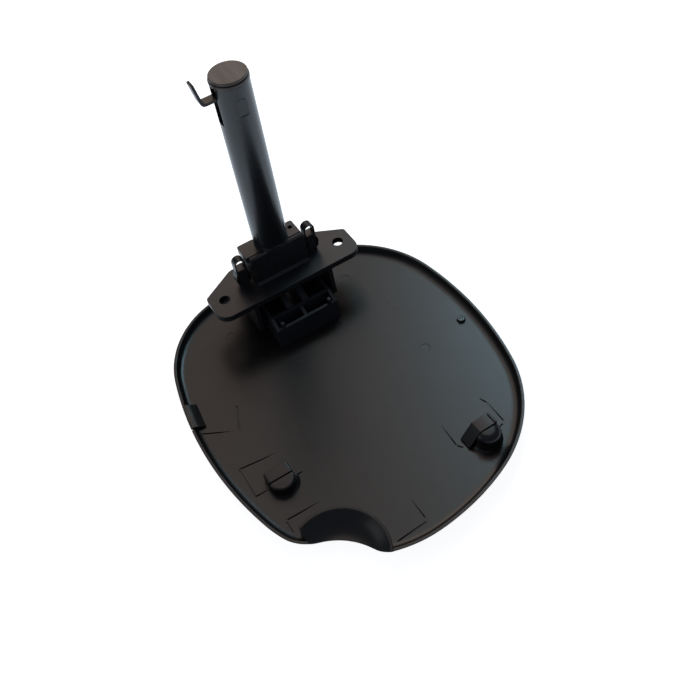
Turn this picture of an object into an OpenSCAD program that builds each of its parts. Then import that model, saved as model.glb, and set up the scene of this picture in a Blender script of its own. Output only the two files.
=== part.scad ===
// Car fuel door: a crowned lid with a finger scoop, carried by a ribbed hinge arm.
// The arm turns on a steel pin between two ears under a bolt-on hinge housing.
// A sprung rod in the housing's long tube holds a release hook at the tube's side.
// X runs along the two bolt holes, +Z points into the car, the lid faces -Z.
// The origin is midway between the bolt holes, on the flange face that meets the car body.

/* [Flange] */
// Distance between the two bolt holes
hole_pitch = 80; // [70:1:100]
// Diameter of a bolt hole
hole_d = 6.8; // [5:0.1:8]
// Flange metal or plastic left outside each bolt hole, along X
flange_end = 9; // [7:0.5:14]
// Flange thickness
flange_t = 4; // [3:0.5:6]
// Flange edge in front of the bolt holes
flange_front = 14.3; // [12:0.1:18]
// Flange edge behind the bolt holes
flange_back = 20; // [18:0.5:26]
// Height of the flange's ends at the back, measured from the holes
flange_end_back = 7.4; // [5:0.1:12]
// Half length of the straight back edge
flange_back_half = 27; // [20:0.5:32]
// Radius of the flange's front corners
flange_corner_r = 8; // [3:0.5:10]

/* [Box and tube] */
// Width of the box at the tube's foot
box_w = 36; // [30:0.5:42]
// Height of the box above the flange
box_h = 22; // [18:0.5:26]
// Box front face, behind the bolt holes' line (negative is in front)
box_front = -1.8; // [-4:0.1:2]
// Box depth from its front to its back
box_depth = 15.6; // [13:0.1:18]
// Box wall
box_wall = 2; // [1.5:0.1:3]
// Outer diameter of the long tube
tube_d = 21; // [20:0.5:26]
// Wall of the long tube
tube_wall = 1.8; // [1.4:0.1:2.5]
// Height of the tube's mouth above the flange
tube_top = 135.5; // [125:0.5:150]
// Tube axis behind the bolt holes' line
tube_y = 6; // [5:0.1:8]
// Thickness of the floor between tube and box
tube_floor = 4; // [3:0.5:6]
// Width of the hook's slot in the tube
slot_w = 6.6; // [6:0.1:8]
// How far the slot reaches below the hook's lowest place
slot_below = 1.5; // [1:0.1:4]
// Height of the cap above the tube's mouth
cap_t = 3.5; // [3:0.1:5]
// Thickness of the cap's top disc
cap_disc_t = 1.3; // [0.8:0.1:1.6]
// Length of the cap's plug inside the tube
cap_plug = 2.5; // [2:0.1:4]
// Width of the flats sunk in the tube's front
flat_w = 5.6; // [4:0.1:7]
// Lower and upper end of the flat near the tube's mouth
flat_high = [118.5, 128.8];
// Lower and upper end of the flat at the tube's foot
flat_low = [25, 41.7];
// Thickness of the lugs on the box's top, beside the tube
lug_t = 4.5; // [3:0.5:6]
// How far the left lug stands out past the box
lug_out = 1.9; // [1:0.1:2]
// Width of the lip along the box's front top edge
lip_w = 2; // [1.5:0.1:3]

/* [Hinge] */
// Pivot pin diameter
pin_d = 5; // [4:0.5:6]
// Pivot axis below the flange's seat face
pivot_drop = 14; // [13:0.5:17]
// Thickness of one ear
ear_t = 3; // [2:0.5:4]
// Room between the arm and each ear
ear_room = 3.5; // [2.5:0.1:5]
// Ear depth below the seat face
ear_drop = 28; // [24:0.5:29]
// Radius of an ear round the pin
ear_r = 7; // [5:0.5:8]
// Width of the ribbed arm
arm_w = 42; // [38:0.5:44]
// Outer radius of the arm's barrel
barrel_r = 5.6; // [5:0.1:6.5]
// Wall of the arm's ribs
rib_t = 2; // [1.5:0.1:3]
// Arm front wall in front of the bolt holes' line
arm_front = 26.5; // [22:0.5:30]
// Height of the arm's front wall top, below the seat face
arm_front_drop = 18.5; // [16:0.5:22]
// Middle cross rib in front of the bolt holes' line
arm_mid = 19; // [16:0.5:22]
// Height of the middle cross rib's top, below the seat face
arm_mid_drop = 14.5; // [12:0.5:17]
// Opening angle of the lid
open_angle = 85; // [60:1:88]

/* [Pull rod] */
// Rod diameter
rod_d = 6; // [5:0.5:7]
// Distance from the pivot to the crank pin
crank_r = 10; // [9:0.5:11]
// Crank pin diameter
crank_d = 4; // [3:0.5:4.5]
// Height of the hook's strip above the seat face, with the lid shut
hook_z = 128.5; // [122:0.5:129]
// Width of the hook's strip
hook_w = 5.6; // [4:0.1:6.5]
// Thickness of the hook's strip
hook_t = 1.5; // [1:0.1:2.5]
// How far the hook stands out from the tube
hook_reach = 7.5; // [5:0.5:9]
// Length of the hook's finger
hook_finger = 11.5; // [8:0.5:16]
// Outward lean of the hook's finger
hook_lean = 11; // [0:1:20]
// Diameter of the hook's rivet
rivet_d = 2.2; // [1.6:0.1:2.6]
// Wire diameter of the return spring
wire_d = 1.4; // [1:0.1:1.8]
// Turns of the return spring
spring_turns = 16; // [8:1:20]

/* [Lid] */
// Lid edge to the left of the origin
lid_left = 96; // [90:0.5:105]
// Lid edge to the right of the origin
lid_right = 90.5; // [85:0.5:100]
// Lid edge behind the origin
lid_back = 32; // [30:0.5:34]
// Lid edge in front of the origin
lid_front = 187; // [180:0.5:200]
// Radii of the right, back, left and front edges
lid_side_r = [192.5, 143.5, 221.5, 138.5];
// Radii of the back right, back left, front left and front right corners
lid_corner_r = [65.5, 59.5, 71.5, 83];
// Radius of the lid's crown
crown_r = 900; // [700:10:1500]
// Depth of the lid's inner face at the crown, below the seat face
lid_drop = 35.2; // [34.5:0.1:38]
// Thickness of the lid's panel
panel_t = 2.8; // [2:0.1:3.5]
// Width of the lid's rim
rim_w = 2.2; // [1.5:0.1:3]
// Height of the rim above the panel
rim_h = 3.5; // [2:0.1:5]
// Centre of the finger notch
notch_pos = [-76, -182];
// Radius of the finger notch
notch_r = 26; // [24:0.5:28]
// Radii of the rounded tips to the left and right of the notch
tip_r = [12, 15];
// Centre of the scoop's crest
scoop_pos = [-64.4, -169.8];
// Radius of the scoop's crest
scoop_r = 27; // [26:0.5:29]
// Height of the scoop's crest above the panel
scoop_h = 7; // [5:0.1:8]
// Skin thickness of the scoop
scoop_t = 2; // [1.5:0.1:2.5]
// Radius of the scoop's hollow
bowl_r = 42.6; // [40:0.1:50]
// Left end of the scoop
scoop_end = -74; // [-78:0.5:-72]
// Middle of the slit of the left and right catch boss
boss_left_pos = [-66.8, -111.3];
boss_right_pos = [40.2, -153.4];
// Width of a catch boss's flat top
boss_w = 12.6; // [10:0.1:16]
// Depth of the block behind the slit
boss_back = 7.4; // [6:0.1:9]
// Radius of a boss's rounded top edge
boss_edge = 1.2; // [0.8:0.1:1.6]
// How far a boss's front wall spreads towards its foot
boss_flare = 2.6; // [1:0.1:4]
// Height of the left catch boss
boss_left_h = 6.5; // [5:0.5:9]
// Height of the right catch boss
boss_right_h = 10.5; // [9:0.5:12]
// How far the right boss's ramp runs out to the left
boss_ramp = 10; // [6:0.5:12]
// Width of the slit in a catch boss
boss_slit = 0.8; // [0.5:0.1:1.2]
// Places of the ejector marks
eject_pos = [[39, -3], [49.5, -79.4], [-36, -7.2]];
// Diameter of an ejector mark
eject_d = 7; // [5:0.5:9]
// Place of the sprue's stub
stub_pos = [79, -76];
// Lower and upper end of the ramp beside the left rim
rim_ramp_y = [-58, -33];
// Width of that ramp at its upper end
rim_ramp_w = 9; // [6:0.5:11]

/* [Body clips] */
// Thickness of the clip's strip
clip_t = 0.8; // [0.6:0.1:1.2]
// Width of the clip's strip
clip_w = 5; // [4:0.5:7]
// Outer width of the clip's loop
clip_loop = 7; // [6:0.1:8]
// Outer width of the clip across its shoulders
clip_shoulder = 9.6; // [8:0.1:10.5]
// Clip height above the flange
clip_h = 22; // [20:0.5:24]
// Height of the clip's shoulders above the flange
clip_bend = 9.5; // [8:0.5:11]
// Room under the clip for the car's body panel
panel_room = 2.1; // [2.1:0.1:3]
// Clip centre outside the box's side
clip_out = 5.8; // [5.5:0.1:8]
// Clip centre behind the bolt holes' line
clip_y = 4.8; // [4:0.1:7]

/* [Fits] */
// Radial running clearance of pins in bushes
run_gap = 0.05; // [0.02:0.01:0.08]
// Gap between moving faces
side_gap = 0.4; // [0.3:0.05:0.6]
// Gap between pieces fitted together
seat_gap = 0.05; // [0.02:0.01:0.1]

/* [Hidden] */
$fn = 72;
eps = 0.01;

// Lid's crown: where it is lowest, and the centre of its inner sphere
crown_pos = [-2.5, -75];
crown_z = crown_r - lid_drop;
function panel_z(p) = crown_z - sqrt(crown_r * crown_r - pow(norm(p - crown_pos), 2));
// Where the edges of the lid reach furthest: right, back, left and front
side_centre = [
    [lid_right - lid_side_r[0], -69.5],
    [-8, lid_back - lid_side_r[1]],
    [lid_side_r[2] - lid_left, -72],
    [-19, lid_side_r[3] - lid_front]];
corner_guess = [[60, 0], [-60, 0], [-60, -140], [60, -140]];
outline_chord = 3.2;

// Widths that follow the box and the arm
clip_x = box_w / 2 + clip_out;
ear_gap = arm_w + 2 * ear_room;

// Pivot, crank and travel
crank_half = open_angle / 2;
crank_mean = crank_r * (1 + cos(crank_half)) / 2;
crank_swing = crank_r * (1 - cos(crank_half)) / 2;
pivot_y = tube_y + crank_mean;
pivot_z = -pivot_drop;
crank_y = pivot_y - crank_r * cos(crank_half);
crank_z = pivot_z + crank_r * sin(crank_half);
travel = 2 * crank_r * sin(crank_half);
arm_slot = rod_d + 2 * side_gap;
cheek_t = 4.4;
bush_d = pin_d + 2.4;
bush_len = 8;
pin_past = 3;
// How far the ribs stay inside the barrel's outline
arm_inset = 0.7;
washer_t = ear_room - side_gap - seat_gap;

// Tube and what runs in it
bore_d = tube_d - 2 * tube_wall;
floor_z = box_h + tube_floor - 2;
guide_d = rod_d + 5;
guide_flange = 1.2;
seat_t = 1.2;
spring_z0 = floor_z + guide_flange + seat_t;
head_d = bore_d - 4 * run_gap;
head_below = 8;
rivet_head = 0.7;
head_above = tube_top - cap_plug - hook_z - side_gap - rivet_head;
spring_z1 = hook_z - head_below;
ring_t = 1;
rod_top = tube_top - 2 * side_gap;
rivet_x = (head_d + rod_d) / 4;
rivet_hole = rivet_d + 2 * seat_gap;
slot_low = hook_z - travel - hook_t / 2 - slot_below;
eye_t = rod_d - 1;
eye_wall = 1.7;
eye_h = crank_d + 2 * side_gap;
eye_l = crank_d + 2 * crank_swing + 2 * side_gap;

black = "#26282b";
lid_black = "#35322f";
steel = "#9aa0a6";
spring_black = "#1b1c1e";

// Unit vector
function unit(v) = v / norm(v);
// Direction of a vector in degrees
function heading(v) = atan2(v.y, v.x);
// Points of an arc
function arc(c, r, a0, sweep, n) = [for (i = [0:n]) c + r * [cos(a0 + sweep * i / n), sin(a0 + sweep * i / n)]];

// One rounded corner of a polygon
function corner(a, b, c, r, step) =
    r <= 0 ? [b] :
    let (u = unit(a - b), v = unit(c - b), half = acos(u * v) / 2)
    let (centre = b + unit(u + v) * r / sin(half))
    let (a0 = heading(b + u * r / tan(half) - centre), a1 = heading(b + v * r / tan(half) - centre))
    let (sweep = (a1 - a0 + 540) % 360 - 180)
    arc(centre, r, a0, sweep, max(2, ceil(abs(sweep) / step)));

// A polygon's points with a radius at each corner
function rounded(pts, radii, step = 9) =
    let (n = len(pts))
    [for (i = [0:n - 1]) each corner(pts[(i + n - 1) % n], pts[i], pts[(i + 1) % n], radii[i], step)];

// Normal of a path at one of its points, long enough to keep a strip's thickness at bends
function path_normal(p, i) =
    let (a = unit(p[min(i + 1, len(p) - 1)] - p[min(i, len(p) - 2)]))
    let (b = unit(p[max(i, 1)] - p[max(i - 1, 0)]))
    let (m = unit([-a.y - b.y, a.x + b.x]))
    m / (m * [-a.y, a.x]);

// Outline of a bent strip of thickness t along a path
function strip(p, t) = concat(
    [for (i = [0:len(p) - 1]) p[i] + path_normal(p, i) * t / 2],
    [for (i = [len(p) - 1:-1:0]) p[i] - path_normal(p, i) * t / 2]);

// Crossing of two circles that lies nearer to a guess
function crossing(c1, r1, c2, r2, guess) =
    let (d = norm(c2 - c1), a = (r1 * r1 - r2 * r2 + d * d) / (2 * d), h = sqrt(r1 * r1 - a * a))
    let (u = (c2 - c1) / d, m = c1 + u * a, n = [-u.y, u.x] * h)
    norm(m + n - guess) < norm(m - n - guess) ? m + n : m - n;

// Centre of the lid's corner i, whose arc meets its two edges smoothly
function corner_centre(i) =
    let (j = (i + 1) % 4, k = lid_corner_r[i])
    crossing(side_centre[i], lid_side_r[i] - k, side_centre[j], lid_side_r[j] - k, corner_guess[i]);

// Arc from one direction on to the next, in even chords
function arc_between(c, r, from, to) =
    let (a0 = heading(from), sweep = (heading(to) - a0 + 720) % 360)
    let (n = ceil(r * sweep * PI / 180 / outline_chord))
    [for (i = [0:n - 1]) c + r * [cos(a0 + sweep * i / n), sin(a0 + sweep * i / n)]];

// Centre of the rounded tip beside the notch: 0 on the left, 1 on the right
function tip_centre(k) =
    let (c = corner_centre(2))
    crossing(c, lid_corner_r[2] - tip_r[k], notch_pos, notch_r + tip_r[k], c + 80 * unit(k == 0 ? [-1.9, -1] : [-0.4, -2]));

// Arc round the notch, taken clockwise
function notch_arc(r) =
    let (a0 = heading(tip_centre(0) - notch_pos), sweep = (heading(tip_centre(1) - notch_pos) - a0 - 720) % 360)
    let (n = ceil(-r * sweep * PI / 180 / outline_chord))
    [for (i = [0:n - 1]) notch_pos + r * [cos(a0 + sweep * i / n), sin(a0 + sweep * i / n)]];

// Front left corner with the notch and its two rounded tips
function notched_corner(inset, from, to) =
    let (c = corner_centre(2), r = lid_corner_r[2] - inset, left = tip_centre(0), right = tip_centre(1))
    concat(
        arc_between(c, r, from, left - c),
        arc_between(left, tip_r[0] - inset, left - c, notch_pos - left),
        notch_arc(notch_r + inset),
        arc_between(right, tip_r[1] - inset, notch_pos - right, right - c),
        arc_between(c, r, right - c, to));

// The lid's outline: four edges and four corners as tangent arcs, with the notch in one corner
function lid_outline(inset) = [for (i = [0:3]) each
    let (c = side_centre[i], before = corner_centre((i + 3) % 4), after = corner_centre(i))
    let (next = after - side_centre[(i + 1) % 4])
    concat(
        arc_between(c, lid_side_r[i] - inset, before - c, after - c),
        i == 2 ? notched_corner(inset, after - c, next) : arc_between(after, lid_corner_r[i] - inset, after - c, next))];

// Slab in the YZ plane, centred on x, from a profile of [y, z] points
module slab(x, t) translate([x - t / 2, 0, 0]) rotate([90, 0, 90]) linear_extrude(t) children();

// Cylinder along X, centred on x
module rod_x(x, len, r) translate([x - len / 2, 0, 0]) rotate([0, 90, 0]) cylinder(h = len, r = r);

module at_pivot() translate([0, pivot_y, pivot_z]) children();

// Inside of the lid's crown, raised by lift
module crown(lift) translate([crown_pos.x, crown_pos.y, crown_z]) sphere(r = crown_r - lift, $fn = 300);

module flange_plate() {
    x = hole_pitch / 2 + flange_end;
    pts = [[-x, -flange_front], [x, -flange_front], [x, flange_end_back], [flange_back_half, flange_back],
        [-flange_back_half, flange_back], [-x, flange_end_back]];
    translate([0, 0, -flange_t]) linear_extrude(flange_t)
        polygon(rounded(pts, [flange_corner_r, flange_corner_r, 2.5, 6, 6, 2.5], 6));
}

module ear_profile() {
    r = ear_r;
    polygon(rounded([
        [-flange_front + 1.6, -flange_t + eps], [-flange_front, -ear_drop], [pivot_y - 4, -ear_drop],
        [pivot_y + r, pivot_z - r], [pivot_y + r, -flange_t + eps]],
        [0, 3, 3, r - 0.5, 0], 8));
}

// Flat lug beside the tube, with rounded edges, from x0 to x1
module lug(x0, x1) {
    y0 = box_front + lip_w + 0.8;
    translate([0, 0, box_h - lug_t]) linear_extrude(lug_t)
        polygon(rounded([[x0, y0], [x1, y0], [x1, box_front + box_depth - 0.4], [x0, box_front + box_depth - 0.4]],
            [1.2, 1.2, 1.2, 1.2], 15));
}

// Box at the tube's foot: walls, two lugs and a lip along the front top edge
module box_block() {
    back = box_front + box_depth;
    step = 1;
    slab(0, box_w) polygon([
        [box_front, -flange_t / 2], [box_front, box_h - step], [back, box_h - step], [back, -flange_t / 2]]);
    // Lip with a sloped front, beside the tube
    slab(0, box_w) polygon([
        [box_front, box_h - 2 * step], [box_front + 0.7, box_h - 0.2], [box_front + 1.1, box_h],
        [box_front + lip_w, box_h], [box_front + lip_w, box_h - 2 * step]]);
    lug(-box_w / 2 - lug_out, -tube_d / 2 + 2);
    lug(tube_d / 2 - 2, box_w / 2 - 0.5);
    // Fillet at the foot of the front wall
    foot = 1.4;
    slab(0, box_w) polygon([[box_front + eps, -eps], [box_front - foot, -eps], [box_front + eps, foot]]);
}

// Upright tongue that a body clip is pressed over
module tongue(side) {
    w = clip_loop - 2 * clip_t - 2 * seat_gap;
    translate([side * clip_x - w / 2, clip_y - clip_w / 2 - 0.5, -flange_t / 2])
        cube([w, clip_w + 1, flange_t / 2 + clip_h - clip_loop - 0.8]);
}

// Flat with a round top, sunk in the tube's front
module tube_flat(ends, depth) translate([0, tube_y - tube_d / 2 + depth, 0]) {
    translate([0, 0, ends[1] - flat_w / 2]) rotate([90, 0, 0]) cylinder(h = 3, d = flat_w);
    translate([-flat_w / 2, -3, ends[0]]) cube([flat_w, 3, ends[1] - ends[0] - flat_w / 2]);
}

// Housing: flange, box, tube and ears in one moulding
module hinge_housing() color(black) difference() {
    union() {
        flange_plate();
        box_block();
        translate([0, tube_y, box_h - 6]) cylinder(h = 6, r1 = tube_d / 2 - 6, r2 = tube_d / 2);
        translate([0, tube_y, box_h - eps]) cylinder(h = tube_top - box_h + eps, d = tube_d);
        for (side = [-1, 1]) {
            slab(side * (ear_gap + ear_t) / 2, ear_t) ear_profile();
            tongue(side);
        }
    }
    for (side = [-1, 1]) translate([side * hole_pitch / 2, 0, -flange_t - 1]) cylinder(h = flange_t + 2, d = hole_d);
    // Tube bore and the guide's hole
    translate([0, tube_y, floor_z]) cylinder(h = tube_top, d = bore_d);
    translate([0, tube_y, 0]) cylinder(h = floor_z + 1, d = guide_d);
    // Cavity in the box, open at the bottom
    depth = box_depth - 2 * box_wall;
    translate([-box_w / 2 + box_wall + 3, box_front + box_wall, -flange_t - 1])
        cube([box_w - 2 * box_wall - 6, depth, flange_t + 1 + box_h - tube_floor]);
    // Slot for the hook
    translate([-tube_d, tube_y - slot_w / 2, slot_low]) cube([tube_d - 4, slot_w, tube_top + 1 - slot_low]);
    // Pin hole in both ears
    at_pivot() rod_x(0, ear_gap + 4 * ear_t, pin_d / 2);
    tube_flat(flat_high, 0.4);
    tube_flat(flat_low, 0.4);
    // Blind pin hole in the right lug
    translate([(tube_d + box_w) / 4, tube_y + 2.2, box_h - lug_t + 1]) cylinder(h = lug_t, d = 3);
}

// Cap pressed into the tube's mouth
module tube_cap() color("#6e6460") translate([0, tube_y, tube_top]) {
    r = tube_d / 2;
    collar = cap_t - cap_disc_t - 0.5;
    rotate_extrude() polygon([
        [0, 0], [r + 0.2, 0], [r + 0.2, collar - 0.2], [r, collar], [r - 0.9, collar], [r - 0.9, cap_t - cap_disc_t],
        [r - 0.3, cap_t - cap_disc_t], [r - 0.3, cap_t - 0.25], [r - 0.55, cap_t], [0, cap_t]]);
    translate([0, 0, -cap_plug]) difference() {
        cylinder(h = cap_plug + eps, d = bore_d - 2 * seat_gap);
        translate([0, 0, -1]) cylinder(h = cap_plug + 1, d = bore_d - 4);
    }
}

// Steel pivot pin with a head on the left and a groove for its clip on the right
module pivot_pin() color(steel) at_pivot() {
    outer = ear_gap / 2 + ear_t;
    difference() {
        rod_x(pin_past / 2, 2 * outer + pin_past, pin_d / 2);
        difference() {
            rod_x(outer + 1.1, 1.1, pin_d);
            rod_x(outer + 1.1, 2, pin_d / 2 - 0.6);
        }
    }
    rod_x(-outer - 1, 2, pin_d / 2 + 1.6);
}

// Open ring in the pin's groove
module pin_clip() color(steel) at_pivot() {
    outer = ear_gap / 2 + ear_t;
    difference() {
        rod_x(outer + 1.1, 1, pin_d / 2 + 2);
        rod_x(outer + 1.1, 2, pin_d / 2 - 0.6 + seat_gap);
        translate([outer - 1, -pin_d / 4, -pin_d]) cube([4, pin_d / 2, pin_d]);
    }
}

// Spring steel clip folded over a tongue, with shoulders that snap behind the car's panel
module body_clip() color(spring_black) translate([clip_x, clip_y, 0]) {
    half = (clip_loop - clip_t) / 2;
    wide = (clip_shoulder - clip_t) / 2;
    leg = [[wide - 1.3, panel_room + 0.4], [wide - 0.5, panel_room + 1.6], [wide, clip_bend - 2.2],
        [wide - 0.2, clip_bend - 0.9], [half + 0.5, clip_bend + 1.1], [half, clip_bend + 2.2]];
    top = clip_h - clip_t / 2 - half;
    path = concat(
        leg,
        [for (a = [0:15:180]) [half * cos(a), top + half * sin(a)]],
        [for (i = [len(leg) - 1:-1:0]) [-leg[i].x, leg[i].y]]);
    translate([0, clip_w / 2, 0]) rotate([90, 0, 0]) linear_extrude(clip_w) polygon(strip(path, clip_t));
}
module body_clip_left() mirror([1, 0, 0]) body_clip();
module body_clip_right() body_clip();

// Flanged bush that guides the rod through the tube's floor
module rod_guide() color("#c9c5ba") translate([0, tube_y, 0]) difference() {
    foot = box_h - tube_floor;
    union() {
        translate([0, 0, foot]) cylinder(h = floor_z - foot + eps, d = guide_d - 2 * seat_gap);
        translate([0, 0, floor_z]) cylinder(h = guide_flange, d = bore_d - 2);
    }
    translate([0, 0, foot - 1]) cylinder(h = floor_z + guide_flange - foot + 2, d = rod_d + 2 * run_gap);
}

// Flat washer under the return spring
module spring_seat() color(steel) translate([0, tube_y, floor_z + guide_flange]) difference() {
    cylinder(h = seat_t, d = bore_d - 1);
    translate([0, 0, -1]) cylinder(h = seat_t + 2, d = rod_d + 4 * side_gap);
}

// Upright column of the lid's outline, deep enough for every height in the lid
module lid_column(inset) translate([0, 0, -2 * lid_drop]) linear_extrude(2 * lid_drop - 8) polygon(lid_outline(inset));

// Panel and rim, filled between two spheres inside the outline
module lid_shell() difference() {
    intersection() {
        lid_column(0);
        crown(-panel_t);
    }
    crown(rim_h);
    intersection() {
        lid_column(rim_w);
        crown(0);
    }
}

// Ball that hollows the scoop, so that its rim is the scoop's crest
module scoop_ball(grow) {
    crest_z = panel_z(scoop_pos + scoop_r * unit([-1, 2.6])) + scoop_h;
    translate([scoop_pos.x, scoop_pos.y, crest_z + sqrt(bowl_r * bowl_r - scoop_r * scoop_r)])
        sphere(r = bowl_r + grow, $fn = 120);
}

// Leaning shell of the scoop, up to its crest
module scoop_shell() {
    crest_z = panel_z(scoop_pos + scoop_r * unit([-1, 2.6])) + scoop_h;
    intersection() {
        translate([scoop_pos.x, scoop_pos.y, -lid_drop]) cylinder(h = crest_z + lid_drop, r = scoop_r + scoop_t / 2, $fn = 120);
        translate([scoop_end, notch_pos.y - notch_r, -lid_drop]) cube([3 * scoop_r, 4 * scoop_r, lid_drop]);
        lid_column(0);
        crown(-panel_t / 2);
        scoop_ball(scoop_t);
    }
}

// Half dome in front of a slit, with a flat top, a rounded edge and a flared wall
module boss_front(r, h) rotate_extrude() polygon(concat(
    [[0, 0], [r + boss_edge + boss_flare, 0], [r + boss_edge + boss_flare * 0.35, h * 0.35]],
    arc([r, h - boss_edge], boss_edge, 0, 90, 6),
    [[0, h]]));

// Catch boss: a block behind a slit and a half dome in front of it
module catch_boss(pos, h) translate([pos.x, pos.y, panel_z(pos) - panel_t / 2]) {
    r = boss_w / 2;
    top = h + panel_t / 2;
    intersection() {
        translate([0, -boss_slit, 0]) boss_front(r, top);
        translate([-2 * r, -4 * r, 0]) cube([4 * r, 4 * r - boss_slit, top]);
    }
    // Block with rounded long edges
    translate([0, boss_back, 0]) rotate([90, 0, 0]) linear_extrude(boss_back) polygon(concat(
        [[-r - boss_edge, 0]],
        [for (q = arc([-r, top - boss_edge], boss_edge, 180, -90, 5)) q],
        [for (q = arc([r, top - boss_edge], boss_edge, 90, -90, 5)) q],
        [[r + boss_edge, 0]]));
    // Web that closes the slit near the panel
    translate([-r + 1, -boss_slit - eps, 0]) cube([2 * r - 2, boss_slit + 2 * eps, top - 2.5]);
}

// Ramp to the left of the right boss, and the low rib on its right end
module boss_extras(pos, h) translate([pos.x, pos.y, panel_z(pos) - panel_t / 2]) {
    r = boss_w / 2;
    top = h + panel_t / 2;
    translate([0, boss_back - 0.4, 0]) rotate([90, 0, 0]) linear_extrude(boss_back - 0.9)
        polygon([[-r + 1, 0], [-r - boss_ramp, 0], [-r - 0.6, top - 0.5], [-r + 1, top - 0.3]]);
    translate([r - 0.9, 0.2, top - 1]) cube([1.4, boss_back - 0.4, 2.2]);
}

// Ramp from the top of the left rim down to the panel, cut off with a small gap at its lower end
module rim_ramp() intersection() {
    lid_column(rim_w / 2);
    crown(-panel_t / 2);
    y0 = rim_ramp_y[0];
    y1 = rim_ramp_y[1];
    x = -lid_left + 1;
    z = panel_z([x, y1]) - panel_t / 2;
    translate([0, y1, 0]) rotate([90, 0, 0]) linear_extrude(y1 - y0) polygon([
        [x, z], [x, z + panel_t / 2 + rim_h], [x + 3, z + panel_t / 2 + rim_h],
        [x + 3 + rim_ramp_w, z + panel_t / 2 - 1.2], [x + 3 + rim_ramp_w, z]]);
}

// Fine groove left in the panel by a mould insert's edge
module witness(a, b) {
    w = 0.5;
    translate([a.x, a.y, (panel_z(a) + panel_z(b)) / 2 - 0.35]) rotate(heading(b - a))
        translate([0, -w / 2, 0]) cube([norm(b - a), w, 3]);
}

module witness_lines() {
    bl = boss_left_pos;
    br = boss_right_pos;
    for (p = [
        [bl + [-16.5, 1.2], bl + [-16.5, 21]], [bl + [-15, 22.3], bl + [11, 22.3]], [bl + [-16.5, 0.2], bl + [12.5, 0.2]],
        [br + [-16, 0.2], br + [-16, 19]], [br + [-16, 0.2], br + [16, 0.2]], [br + [15.8, 0.8], br + [15.8, 20]],
        [[-76.6, -142.5], [-76.6, -134.5]], [[-75.5, -133.5], [-52, -133.5]],
        [[-34.5, -177.6], [-16, -176.6]], [[-15, -174], [-15, -160]],
        [[-64.3, -46.5], [-71, -65.9]], [[-88, -58.4], [-71, -65.9]]]) witness(p[0], p[1]);
}

// Crowned lid panel with its rim, scoop, catch bosses and moulding marks
module lid_panel() color(lid_black) difference() {
    union() {
        lid_shell();
        scoop_shell();
        catch_boss(boss_left_pos, boss_left_h);
        catch_boss(boss_right_pos, boss_right_h);
        boss_extras(boss_right_pos, boss_right_h);
        rim_ramp();
        // Stub left by a sprue
        translate([stub_pos.x, stub_pos.y, panel_z(stub_pos) - 1]) cylinder(h = 2.6, d = 5);
    }
    scoop_ball(0);
    witness_lines();
    for (p = eject_pos) translate([p.x, p.y, panel_z(p) - 0.4]) cylinder(h = 3, d = eject_d);
    // Gap below the rim's ramp
    translate([-lid_left - 1, rim_ramp_y[0] - 1.6, panel_z([-lid_left, rim_ramp_y[0]]) + 0.5]) cube([9, 1.8, 2 * rim_h]);
}

// Ribbed hinge arm that joins the lid to the pivot
module hinge_arm() color(black) difference() {
    union() {
        for (side = [-1, 1]) {
            slab(side * (arm_w - rib_t) / 2, rib_t) arm_side();
            slab(side * (arm_slot + cheek_t) / 2, cheek_t) arm_cheek();
            // Barrel round the pin, with a bush in its outer end
            inner = arm_slot / 2;
            at_pivot() rod_x(side * (arm_w / 2 + inner) / 2, arm_w / 2 - inner, barrel_r);
        }
        // Front wall, middle cross rib and back wall
        cross_rib(-arm_front, -arm_front_drop, 0);
        cross_rib(-arm_mid, -arm_mid_drop, 0);
        cross_rib(pivot_y + barrel_r - arm_inset - rib_t, pivot_z, arm_slot);
        // Corner posts of the front wall
        for (side = [-1, 1])
            translate([side * (arm_w / 2 - 4.6) - rib_t / 2, -arm_front, -lid_drop])
                cube([rib_t, rib_t + 0.4, lid_drop - arm_mid_drop]);
        slab(0, rib_t) polygon([[-arm_front, -lid_drop], [-arm_front, -arm_front_drop - 1],
            [-arm_mid + rib_t, -arm_mid_drop - 1], [-arm_mid + rib_t, -lid_drop]]);
        // Foot plate on the lid
        translate([-arm_w / 2, -arm_front, -lid_drop - 2]) cube([arm_w, arm_front + pivot_y + 4, 9.6]);
    }
    arm_cuts();
}

module arm_side() polygon(concat(
    [[-arm_front, -lid_drop], [-arm_front, -arm_front_drop], [-arm_mid, -arm_mid_drop], [-arm_mid + 7, -arm_mid_drop]],
    arc([pivot_y, pivot_z], barrel_r - arm_inset, 110, -110, 11),
    [[pivot_y + barrel_r - arm_inset, -lid_drop]]));

// Cheek that carries the crank pin beside the rod
module arm_cheek() {
    r = crank_d / 2 + 1.8;
    polygon(concat(
        [[-arm_mid, -lid_drop], [-arm_mid, -arm_mid_drop - 6]],
        arc([crank_y, crank_z], r, 200, -130, 12),
        arc([pivot_y, pivot_z], barrel_r - arm_inset, 70, -70, 7),
        [[pivot_y + barrel_r - arm_inset, -lid_drop]]));
}

module cross_rib(y, top, gap) difference() {
    translate([-arm_w / 2, y, -lid_drop]) cube([arm_w, rib_t, lid_drop + top]);
    if (gap > 0) translate([-gap / 2, y - 1, -lid_drop]) cube([gap, rib_t + 2, lid_drop + top + 1]);
}

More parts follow.
